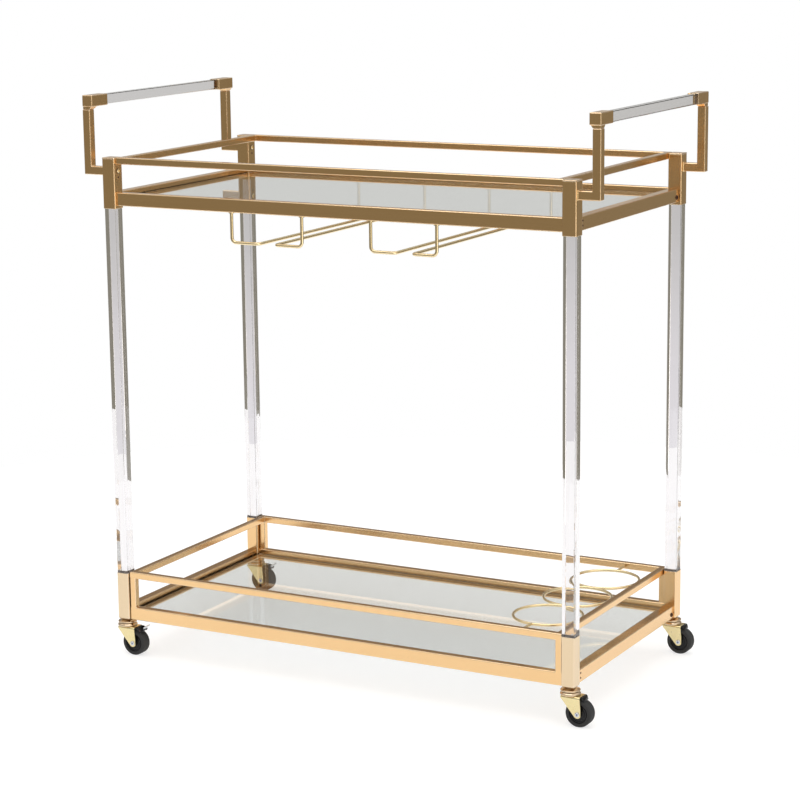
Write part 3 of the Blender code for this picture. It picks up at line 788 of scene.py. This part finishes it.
class CART_OT_screws(bpy.types.Operator):
    """Put the screws in the sleeves and the bolts in the end beams"""
    bl_idname = "cart.screws"
    bl_label = "Fit Screws"

    def execute(self, context):
        screws = context.scene.cart_screws
        arm_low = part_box("handle_arm_front_right")[0][2]
        out_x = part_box("upper_tray_frame")[1][0]
        middle = {tier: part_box(tier + "_tray_frame")[0][2] + HALF_BEAM for tier in ("upper", "lower")}
        big = screw_head(screws.head_radius, screws.head_height, screws.socket)
        small = screw_head(screws.pin_radius, screws.pin_height, screws.pin_radius * 0.5)
        for sx, side in ((-1, "left"), (1, "right")):
            heads, pins, bolts, holes = [], [], [], []
            for place in (f"front_{side}", f"back_{side}"):
                low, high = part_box("upper_sleeve_" + place)
                face = high[0] if sx < 0 else low[0]
                y = (low[1] + high[1]) / 2
                heads.append((face, y, arm_low + 6.5 * MM))
                pins.append((face, y, arm_low - 3.0 * MM))
                sy = CORNERS[place][1]
                beam_end = (low[1] if sy > 0 else high[1]) - sy * screws.bolt_inset
                for tier in ("upper", "lower"):
                    if sy > 0:
                        bolts.append((sx * out_x, beam_end, middle[tier] - 2.5 * MM))
                    else:
                        holes += [(sx * out_x, beam_end + 2.5 * MM, middle[tier] + step * MM)
                                  for step in (4.0, -3.0)]
            inward = Euler((0, -sx * math.pi / 2, 0))
            outward = Euler((0, sx * math.pi / 2, 0))
            for start, places, source, turn, look, slot in (
                    ("handle_screws_", heads, big, inward, brass_wire(), "brass"),
                    ("sleeve_pins_", pins, small, inward, dark_bolt(), "black_plastic"),
                    ("beam_bolts_", bolts, big, outward, dark_bolt(), "black_plastic"),
                    ("beam_pins_", holes, small, outward, dark_bolt(), "black_plastic")):
                values = {"Head": source, "Turn": turn, "Material": look}
                item = screw_row_tree(start + side).run(start + side, points_object(places), values)
                settle(item, "cart", slot)
            rims = screw_row_tree("screw_rims_" + side)
            rim = washer(screws.head_radius)
            values = {"Head": rim, "Turn": inward, "Material": dark_bolt()}
            settle(rims.run("screw_rims_" + side, points_object(heads), values), "cart", "black_plastic")
            discard(rim)
        discard(big, small)
        return {"FINISHED"}


class CART_OT_joints(bpy.types.Operator):
    """Show the joints: dark strips of painted shadow in the gaps beside the lower sleeves and pale liners
    round the feet of the legs
    """
    bl_idname = "cart.joints"
    bl_label = "Show Joints"

    def execute(self, context):
        rail_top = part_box("lower_tray_frame")[1][2]
        for place, (sx, sy) in CORNERS.items():
            low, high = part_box("lower_sleeve_" + place)
            edge = high[0] if sx < 0 else low[0]
            frame_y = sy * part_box("lower_tray_frame")[1][1]
            xs = sorted((edge, edge - sx * 0.7 * MM))
            ys = sorted((frame_y - sy * 0.4 * MM, frame_y + sy * 0.25 * MM))
            # A thin black strip in the gap between sleeve and lower frame: painted shadow where the gap lies
            # in shade.
            painted_shadow_strip = slab((xs[0], ys[0], low[2] + 1.2 * MM), (xs[1], ys[1], rail_top))
            settle(piece_from(painted_shadow_strip, "seam_" + place, black_gloss()), "cart", "black_plastic")
            leg_low, leg_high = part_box("acrylic_leg_" + place)
            inner = (leg_high[0] - leg_low[0]) / 2 + 0.02 * MM
            outer = inner + 0.10 * MM
            centre = ((leg_low[0] + leg_high[0]) / 2, (leg_low[1] + leg_high[1]) / 2, 0)
            liner = square_tube(outer, inner, high[2] - 5.0 * MM, high[2] - 0.1 * MM)
            item = moved(piece_from(liner, "liner_" + place, pale_liner()), centre)
            settle(item, "cart", "acrylic")
            arm_low, arm_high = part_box("handle_arm_" + place)
            start = arm_low[0] if sx > 0 else arm_high[0]
            side = arm_high[1] - arm_low[1]
            values = {"Side": side, "Wire Radius": context.scene.cart_screws.bead, "Material": brass_wire()}
            bead = weld_bead_tree().run("weld_" + place, points_object([(0, 0, 0)]), values)
            bead.data.transform(Matrix.Rotation(math.pi / 2, 4, "Y"))
            moved(bead, (start, (arm_low[1] + arm_high[1]) / 2, arm_low[2] + side / 2))
            settle(bead, "cart", "brass")
        return {"FINISHED"}


class CART_OT_wheels(bpy.types.Operator):
    """Mould the wheels with their treads and ribbed hubs"""
    bl_idname = "cart.wheels"
    bl_label = "Mould Wheels"

    def execute(self, context):
        caster = context.scene.cart_caster
        tyre = make_tyre(caster)
        hub = make_hub(caster)
        for place in CORNERS:
            axle = centre_of("wheel_" + place)
            settle(placed_copy(tyre, "tyre_" + place, axle), "wheel_body_" + place, "black_rubber",
                   "wheel_" + place)
            settle(placed_copy(hub, "hub_" + place, axle), "wheel_body_" + place, "black_plastic")
        discard(tyre, hub)
        return {"FINISHED"}


class CART_OT_forks(bpy.types.Operator):
    """Press the forks and turn the swivel cups and axles"""
    bl_idname = "cart.forks"
    bl_label = "Press Forks"

    def execute(self, context):
        caster = context.scene.cart_caster
        fork = make_fork(caster)
        race = make_race(caster)
        cup = make_cup(caster)
        rivet = make_rivet(caster)
        guard = make_guard(caster)
        for place in CORNERS:
            spot = swivel_axis(place)
            body = "caster_" + place
            settle(placed_copy(fork, "fork_" + place, spot), body, "caster_brass", "caster_fork_" + place)
            settle(placed_copy(race, "race_" + place, spot), body, "caster_brass")
            settle(placed_copy(cup, "swivel_cup_" + place, spot), "cart", "caster_brass",
                   "caster_stem_" + place)
            settle(placed_copy(rivet, "rivet_" + place, spot), body, "zinc", "axle_" + place)
            settle(placed_copy(guard, "guard_" + place, spot), body, "black_plastic", "caster_guard_" + place)
            if place in BRAKED:
                ears = make_ears(caster)
                settle(placed_copy(ears, "brake_ears_" + place, spot), body, "black_plastic")
                discard(ears)
        discard(fork, race, cup, rivet, guard)
        return {"FINISHED"}


class CART_OT_brakes(bpy.types.Operator):
    """Fit the brake levers with their metal pedals"""
    bl_idname = "cart.brakes"
    bl_label = "Fit Brakes"

    def execute(self, context):
        lever = make_lever()
        tip = make_pedal_tip()
        for place in BRAKED:
            pivot = centre_of("brake_pin_" + place)
            body = "brake_" + place
            settle(placed_copy(lever, "lever_" + place, pivot), body, "black_plastic", "brake_lever_" + place)
            settle(placed_copy(tip, "pedal_tip_" + place, pivot), body, "zinc")
            paint("brake_pin_" + place, dark_bolt())
        discard(lever, tip)
        return {"FINISHED"}


class CART_OT_stage(bpy.types.Operator):
    """Lay the pale floor, light it softly and set the camera"""
    bl_idname = "cart.stage"
    bl_label = "Set Stage"

    def execute(self, context):
        stage = context.scene.cart_stage
        lay_floor(stage)
        light_world(stage)
        hang_lights()
        set_camera(stage)
        context.scene.view_settings.view_transform = "Standard"
        return {"FINISHED"}


# ---------------------------------------------------------------- pieces
def paint(node, material):
    item = bpy.data.objects[node]
    if not item.material_slots:
        item.data.materials.append(material)
    for slot in item.material_slots:
        slot.material = material


def screw_head(radius, height, socket):
    """Low domed head with a hexagon socket, standing on Z = 0."""
    steps = 24
    dome = round_corner((0, height - radius * 1.6), radius * 1.6, 52, 72, 5)
    rim = [(radius, 0), (radius, height * 0.35)] + [(x, z) for x, z in dome if x < radius * 0.97]
    bm = bmesh.new()
    rings = []
    for r, z in rim:
        rings.append([bm.verts.new((r * math.cos(a), r * math.sin(a), z))
                      for a in (2 * math.pi * i / steps for i in range(steps))])
    for depth in (height, height * 0.25):
        ring = []
        for i in range(steps):
            angle = 2 * math.pi * i / steps
            off_flat = (angle + math.pi / 6) % (math.pi / 3) - math.pi / 6
            r = socket / math.cos(off_flat)
            ring.append(bm.verts.new((r * math.cos(angle), r * math.sin(angle), depth)))
        rings.append(ring)
    skin(bm, rings)
    bm.faces.new(list(reversed(rings[0])))
    bm.faces.new(rings[-1])
    bmesh.ops.recalc_face_normals(bm, faces=bm.faces)
    return piece_from(bm, "screw_head", brass_wire())


def washer(head_radius):
    """Thin dark rim under a screw head."""
    radius = head_radius + 0.7 * MM
    profile = [(head_radius * 0.6, 0), (radius, 0), (radius, 0.35 * MM), (head_radius * 0.6, 0.4 * MM)]
    return piece_from(lathe(profile, 32), "washer", dark_bolt())


def slab(low, high):
    """Box between two corners with its edges cut at 45 degrees."""
    cut = min(b - a for a, b in zip(low, high)) * 0.2
    outline = [(low[0] + cut, low[1]), (high[0] - cut, low[1]), (high[0], low[1] + cut),
               (high[0], high[1] - cut), (high[0] - cut, high[1]), (low[0] + cut, high[1]),
               (low[0], high[1] - cut), (low[0], low[1] + cut)]
    bm = bmesh.new()
    rings = [[bm.verts.new((x, y, z)) for x, y in outline] for z in (low[2], high[2])]
    skin(bm, rings)
    bm.faces.new(rings[0])
    bm.faces.new(rings[1])
    bmesh.ops.recalc_face_normals(bm, faces=bm.faces)
    return bm


def square_tube(outer, inner, low, high):
    """Upright square tube with rounded corners, given by half sides."""
    bm = bmesh.new()
    rings = []
    for half, height in ((outer, low), (outer, high), (inner, high), (inner, low)):
        corner = 0.9 * MM
        ring = []
        for quarter, (sx, sy) in enumerate(((1, 1), (-1, 1), (-1, -1), (1, -1))):
            start = 90 * quarter
            centre = (sx * (half - corner), sy * (half - corner))
            for x, y in round_corner(centre, corner, start, start + 90, 4):
                ring.append(bm.verts.new((x, y, height)))
        rings.append(ring)
    skin(bm, rings, closed=True)
    bmesh.ops.recalc_face_normals(bm, faces=bm.faces)
    return bm


def both_sides(half_profile):
    """Mirror a (radius, half width) profile to a full section of a wheel."""
    return half_profile + [(radius, -half) for radius, half in reversed(half_profile)]


def make_tyre(caster):
    """Tread with a moulding line in the middle and a ribbed side wall."""
    r = caster.wheel_radius
    w = caster.half_width
    wall = in_mm((-5.6, -1.8), (-5.4, -0.6), (-5.0, -0.2), (-4.4, 0), (-3.5, 0), (-3.3, -0.35), (-2.9, -0.35),
                 (-2.7, -0.05), start=(r, w))
    shoulder = round_corner((r - 2.4 * MM, w - 2.5 * MM), 2.4 * MM, 82, 12, 7)
    tread = [(r - 0.02 * MM, w - 3.2 * MM)] + in_mm((0, 2.6), (0, 0.30), (-0.18, 0.12), start=(r, 0))
    profile = both_sides(wall + shoulder + tread)
    return piece_from(lathe(profile, caster.segments, "Y"), "tyre", black_rubber(), 28)


def make_hub(caster):
    """Ribbed hub: a boss round the axle, a dish and two raised rings."""
    r = caster.wheel_radius - 5.5 * MM
    w = caster.half_width
    side = in_mm((2.3, 0.6), (4.6, 0.6), (5.2, 0.2), (5.6, -2.2), (7.6, -2.4), (7.9, -1.5), (8.9, -1.5),
                 (9.2, -2.3), (10.9, -2.3), (11.2, -1.3), (12.2, -1.2), (12.6, -2.0), start=(0, w))
    profile = both_sides(side + [(r, w - 2.2 * MM)])
    return piece_from(lathe(profile, caster.segments, "Y"), "hub", black_gloss(), 28)


def cheek_outline(caster):
    """Side of the fork: wide at the crown, narrowing to a round end at the axle."""
    front = in_mm((-10.5, 46), (-10.5, 41.8), (-9.2, 39.6), (-5.2, 35.2), (-2.0, 31.0))
    end = round_corner((caster.trail, caster.wheel_radius), 5.7 * MM, 214, 362, 14)
    return front + end + in_mm((18.6, 41.5), (18.6, 46))


def make_fork(caster):
    """Pressed channel cut to the cheek outline."""
    out = 11.4 * MM
    inside = 9.8 * MM
    top = 44.4 * MM
    bend = 2.6 * MM
    thick = out - inside
    outer = round_corner((out - bend, top - bend), bend, 0, 90, 6)
    inner = round_corner((out - bend, top - bend), bend - thick, 90, 0, 6)
    half = [(out, 8 * MM)] + outer
    back = inner + [(inside, 8 * MM)]
    section = half + [(-y, z) for y, z in reversed(half)] + [(-y, z) for y, z in reversed(back)] + back
    channel = plate(section, -12 * MM, 20 * MM, "X")
    sides = plate(cheek_outline(caster), -14 * MM, 14 * MM)
    fork = solid(channel, sides, "INTERSECT")
    bore = lathe(in_mm((0, -20), (2.3, -20), (2.3, 20), (0, 20)), 24, "Y")
    bmesh.ops.translate(bore, vec=(caster.trail, 0, caster.wheel_radius), verts=bore.verts)
    fork = solid(fork, bore, "DIFFERENCE")
    item = piece_from(fork, "fork", caster_plating())
    soften(item, 0.3 * MM, 2, 50)
    return item


def make_race(caster):
    """Lower half of the swivel, pressed on the crown of the fork."""
    low = 44.1 * MM
    rim = round_corner((13.2 * MM, low + 2.0 * MM), 1.8 * MM, -80, 62, 8)
    profile = [(0, low), (12.8 * MM, low)] + rim + in_mm((12.9, 49.0), (0, 49.2))
    return piece_from(lathe(profile, caster.segments), "race", rosy_plating(), 40)


def make_cup(caster):
    """Fixed upper cup of the swivel with its neck and threaded stem."""
    foot = in_mm((0, 49.7), (12.4, 49.75))
    rim = round_corner((13.0 * MM, 51.1 * MM), 1.35 * MM, -72, 62, 8)
    dome = in_mm((12.2, 52.5), (10.2, 53.1), (8.2, 53.7), (7.2, 54.2), (7.0, 54.8))
    stem = in_mm((3.4, 54.7), (3.4, 79.4), (2.8, 80), (0, 80))
    return piece_from(lathe(foot + rim + dome + stem, caster.segments), "cup", rosy_plating(), 40)


def make_rivet(caster):
    """Axle with a rolled head on each side and a dark centre in each head."""
    face = 11.6 * MM
    eye = 1.15 * MM
    side = in_mm((0, 0.3), (1.1, 0.35), (1.5, 1.15), (2.2, 1.3), (3.0, 1.0), (3.5, 0.4), (3.6, 0.05),
                 (2.0, 0), start=(0, face))
    bm = lathe(both_sides(side), 32, "Y")
    for facet in bm.faces:
        middle = facet.calc_center_median()
        facet.material_index = int(math.hypot(middle.x, middle.z) < eye)
    bmesh.ops.translate(bm, vec=(caster.trail, 0, caster.wheel_radius), verts=bm.verts)
    item = piece_from(bm, "rivet", zinc_plating(), 30)
    item.data.materials.append(blue_eye())
    return item


def make_guard(caster):
    """Black moulded guard over the tread, behind the crown."""
    axle = (caster.trail, caster.wheel_radius)
    under = round_corner(axle, caster.wheel_radius + 1.3 * MM, 79.5, 64, 6)
    outline = in_mm((18.9, 44.8)) + under + in_mm((22.8, 43.0), (21.5, 44.6))
    item = piece_from(plate(outline, -8.0 * MM, 8.0 * MM), "guard", black_gloss())
    soften(item, 0.7 * MM, 3, 25)
    return item


def make_ears(caster):
    """Two ears that hold the pin of a brake lever."""
    axle = (caster.trail, caster.wheel_radius)
    pin = (27.5 * MM, 40 * MM)
    outline = round_corner(pin, 3.0 * MM, -60, 92, 8) + in_mm((22.8, 44.4))
    outline += round_corner(axle, caster.wheel_radius + 1.4 * MM, 68, 56, 3)
    both = bmesh.new()
    for low, high in ((-8.3, -6.3), (6.3, 8.3)):
        data = mesh_from(plate(outline, low * MM, high * MM), "ear")
        both.from_mesh(data)
        bpy.data.meshes.remove(data)
    item = piece_from(both, "ears", black_gloss())
    soften(item, 0.35 * MM, 2, 30)
    return item


def make_lever():
    """Black cam of the brake lever, its pivot at the origin."""
    outline = round_corner((0, 0), 2.7 * MM, 128, 322, 12)
    outline += in_mm((3.4, -0.4), (4.4, 3.2), (3.4, 5.4), (1.6, 3.4))
    item = piece_from(plate(outline, -5.9 * MM, 5.9 * MM), "lever", black_gloss())
    soften(item, 0.4 * MM, 2, 30)
    return item


def make_pedal_tip():
    """Metal pedal clipped on the lever: a plate that points out and up, with a turned-up end."""
    outline = in_mm((1.8, 3.0), (6.6, 6.8), (8.4, 8.0), (9.8, 8.6),
                    (10.6, 7.8), (9.6, 6.6), (7.8, 5.0), (3.0, 1.2))
    item = piece_from(plate(outline, -5.2 * MM, 5.2 * MM), "tip", zinc_plating())
    soften(item, 0.35 * MM, 2, 25)
    return item


# ---------------------------------------------------------------- stage
def lay_floor(stage):
    disc = bmesh.new()
    bmesh.ops.create_circle(disc, cap_ends=True, segments=128, radius=stage.floor_radius)
    floor = linked("floor", mesh_from(disc, "floor"))
    shade = Shade("pale_floor")
    base = Vector(stage.floor)
    shade.blend(shade.noise(2.0), base, base * 0.995)
    shade.put(Roughness=0.6, Specular_IOR_Level=0.2, Emission_Color=(1, 1, 1, 1),
              Emission_Strength=stage.floor_glow)
    floor.data.materials.append(shade.material)


# Light by height, from straight down at -1 to straight up at 1.
ROOM = ((-1.0, (0.32, 0.30, 0.25)), (-0.30, (0.29, 0.27, 0.22)), (0.0, (0.26, 0.245, 0.20)),
        (0.25, (0.30, 0.28, 0.26)), (0.50, (0.60, 0.59, 0.58)), (0.75, (1.10, 1.08, 1.05)),
        (1.0, (1.1, 1.1, 1.1)))
BACKDROP = ((-1.0, (1, 1, 1)), (-0.27, (0.97, 0.96, 0.98)), (-0.19, (0.88, 0.86, 0.88)),
            (-0.13, (0.66, 0.65, 0.64)), (0.14, (0.64, 0.64, 0.62)), (0.21, (0.20, 0.16, 0.13)),
            (0.36, (0.18, 0.15, 0.12)), (0.46, (0.75, 0.72, 0.68)), (0.62, (0.30, 0.28, 0.26)),
            (0.78, (1.05, 1.04, 1.02)), (1.0, (1.1, 1.1, 1.1)))
SIDE_BOX = ((-1.0, (0, 0, 0)), (-0.42, (0, 0, 0)), (-0.33, (2.4, 2.3, 2.2)), (-0.19, (2.3, 2.2, 2.1)),
            (-0.14, (0.75, 0.72, 0.70)), (0.60, (0.75, 0.72, 0.70)), (0.70, (0, 0, 0)), (1.0, (0, 0, 0)))


class Sky(Nodes):
    """Nodes of the world: light that depends on height and heading."""

    def __init__(self, world):
        super().__init__(world.node_tree)
        self.tree.nodes.clear()
        self.split = self.node("SeparateXYZ")
        self.link(self.node("TexCoord").outputs["Generated"], self.split.inputs["Vector"])
        flat = self.node("CombineXYZ")
        self.link(self.split.outputs["X"], flat.inputs["X"])
        self.link(self.split.outputs["Y"], flat.inputs["Y"])
        unit = self.node("VectorMath", operation="NORMALIZE")
        self.link(flat.outputs["Vector"], unit.inputs[0])
        self.heading = unit.outputs["Vector"]

    def by_height(self, steps):
        ramp = self.node("ValToRGB")
        stops = ramp.color_ramp.elements
        while len(stops) < len(steps):
            stops.new(0.5)
        for stop, (height, light) in zip(stops, steps):
            stop.position = (height + 1) / 2
            stop.color = (*light, 1)
        self.link(self.remap(self.split.outputs["Z"], -1.0, 1.0), ramp.inputs["Fac"])
        return ramp.outputs["Color"]

    def towards(self, direction, start, full):
        """0 to 1 as the heading turns to a direction."""
        dot = self.node("VectorMath", operation="DOT_PRODUCT")
        dot.inputs[1].default_value = direction
        self.link(self.heading, dot.inputs[0])
        return self.remap(dot.outputs["Value"], start, full, ease="SMOOTHSTEP")


def light_world(stage):
    """Studio: a bright backdrop, a tall soft box at the side and a darker room; plain white to the camera."""
    world = bpy.data.worlds.new("studio")
    bpy.context.scene.world = world
    world.use_nodes = True
    sky = Sky(world)
    light = sky.mix(sky.towards(stage.backdrop, 0.70, 0.90), sky.by_height(ROOM), sky.by_height(BACKDROP))
    light = sky.mix(sky.towards(stage.side_box, 0.88, 0.95), light, sky.by_height(SIDE_BOX), "ADD")
    room = sky.node("Background")
    sky.link(light, room.inputs["Color"])
    white = sky.node("Background")
    white.inputs["Color"].default_value = (1, 1, 1, 1)
    seen = sky.node("LightPath")
    choice = sky.node("MixShader")
    sky.link(seen.outputs["Is Camera Ray"], choice.inputs["Fac"])
    sky.link(room.outputs["Background"], choice.inputs[1])
    sky.link(white.outputs["Background"], choice.inputs[2])
    sky.link(choice.outputs["Shader"], sky.node("OutputWorld").inputs["Surface"])


def hang_light(name, place, side, power):
    """Square soft light that points straight down."""
    data = bpy.data.lights.new(name, "AREA")
    data.shape = "SQUARE"
    data.size = side
    data.energy = power
    lamp = linked(name, data)
    lamp.location = place
    return lamp


def hang_lights():
    """One large soft light overhead and one at the left, turned to the middle of the cart."""
    hang_light("overhead", (0.0, -0.1, 2.8), 2.4, 26.0)
    place = (-2.6, -1.4, 1.7)
    left = hang_light("left_fill", place, 1.2, 2.0)
    aim = Vector((0, 0, 0.4)) - Vector(place)
    left.rotation_euler = aim.to_track_quat("-Z", "Y").to_euler()


def set_camera(stage):
    """Camera to the right of the front, a little above the handles."""
    data = bpy.data.cameras.new("camera")
    data.lens = stage.lens
    data.sensor_width = 36
    data.clip_end = 50
    camera = linked("camera", data)
    turn, dip, roll = CAMERA_TURN, CAMERA_DIP, CAMERA_ROLL
    ahead = Vector((-math.sin(turn) * math.cos(dip), math.cos(turn) * math.cos(dip), math.sin(dip)))
    right = Vector((math.cos(turn), math.sin(turn), 0))
    up = right.cross(ahead)
    tilted_right = right * math.cos(roll) + up * math.sin(roll)
    tilted_up = up * math.cos(roll) - right * math.sin(roll)
    rows = zip(tilted_right, tilted_up, -ahead, CAMERA_PLACE)
    camera.matrix_world = Matrix((*rows, (0, 0, 0, 1)))
    bpy.context.scene.camera = camera


OPERATORS = (CART_OT_plate_frame, CART_OT_clear_parts, CART_OT_wine_rails, CART_OT_bottle_rings,
             CART_OT_screws, CART_OT_joints, CART_OT_wheels, CART_OT_forks, CART_OT_brakes, CART_OT_stage)


class CART_PT_panel(bpy.types.Panel):
    """Sidebar panel that lists the settings and steps of the cart"""
    bl_idname = "CART_PT_panel"
    bl_label = "Bar Cart"
    bl_space_type = "VIEW_3D"
    bl_region_type = "UI"
    bl_category = "Bar Cart"

    def draw(self, context):
        for name, group in SETTINGS.items():
            box = self.layout.box()
            for key in group.__annotations__:
                box.prop(getattr(context.scene, name), key)
        for operator in OPERATORS:
            self.layout.operator(operator.bl_idname)


def register():
    for group in SETTINGS.values():
        bpy.utils.register_class(group)
    for item in (*OPERATORS, CART_PT_panel):
        bpy.utils.register_class(item)
    for name, group in SETTINGS.items():
        setattr(bpy.types.Scene, name, PointerProperty(type=group))


def unregister():
    for name in SETTINGS:
        delattr(bpy.types.Scene, name)
    for item in (CART_PT_panel, *reversed(OPERATORS), *reversed(list(SETTINGS.values()))):
        bpy.utils.unregister_class(item)


def main():
    register()
    for operator in OPERATORS:
        group, name = operator.bl_idname.split(".")
        getattr(getattr(bpy.ops, group), name)()


if __name__ == "__main__":
    main()
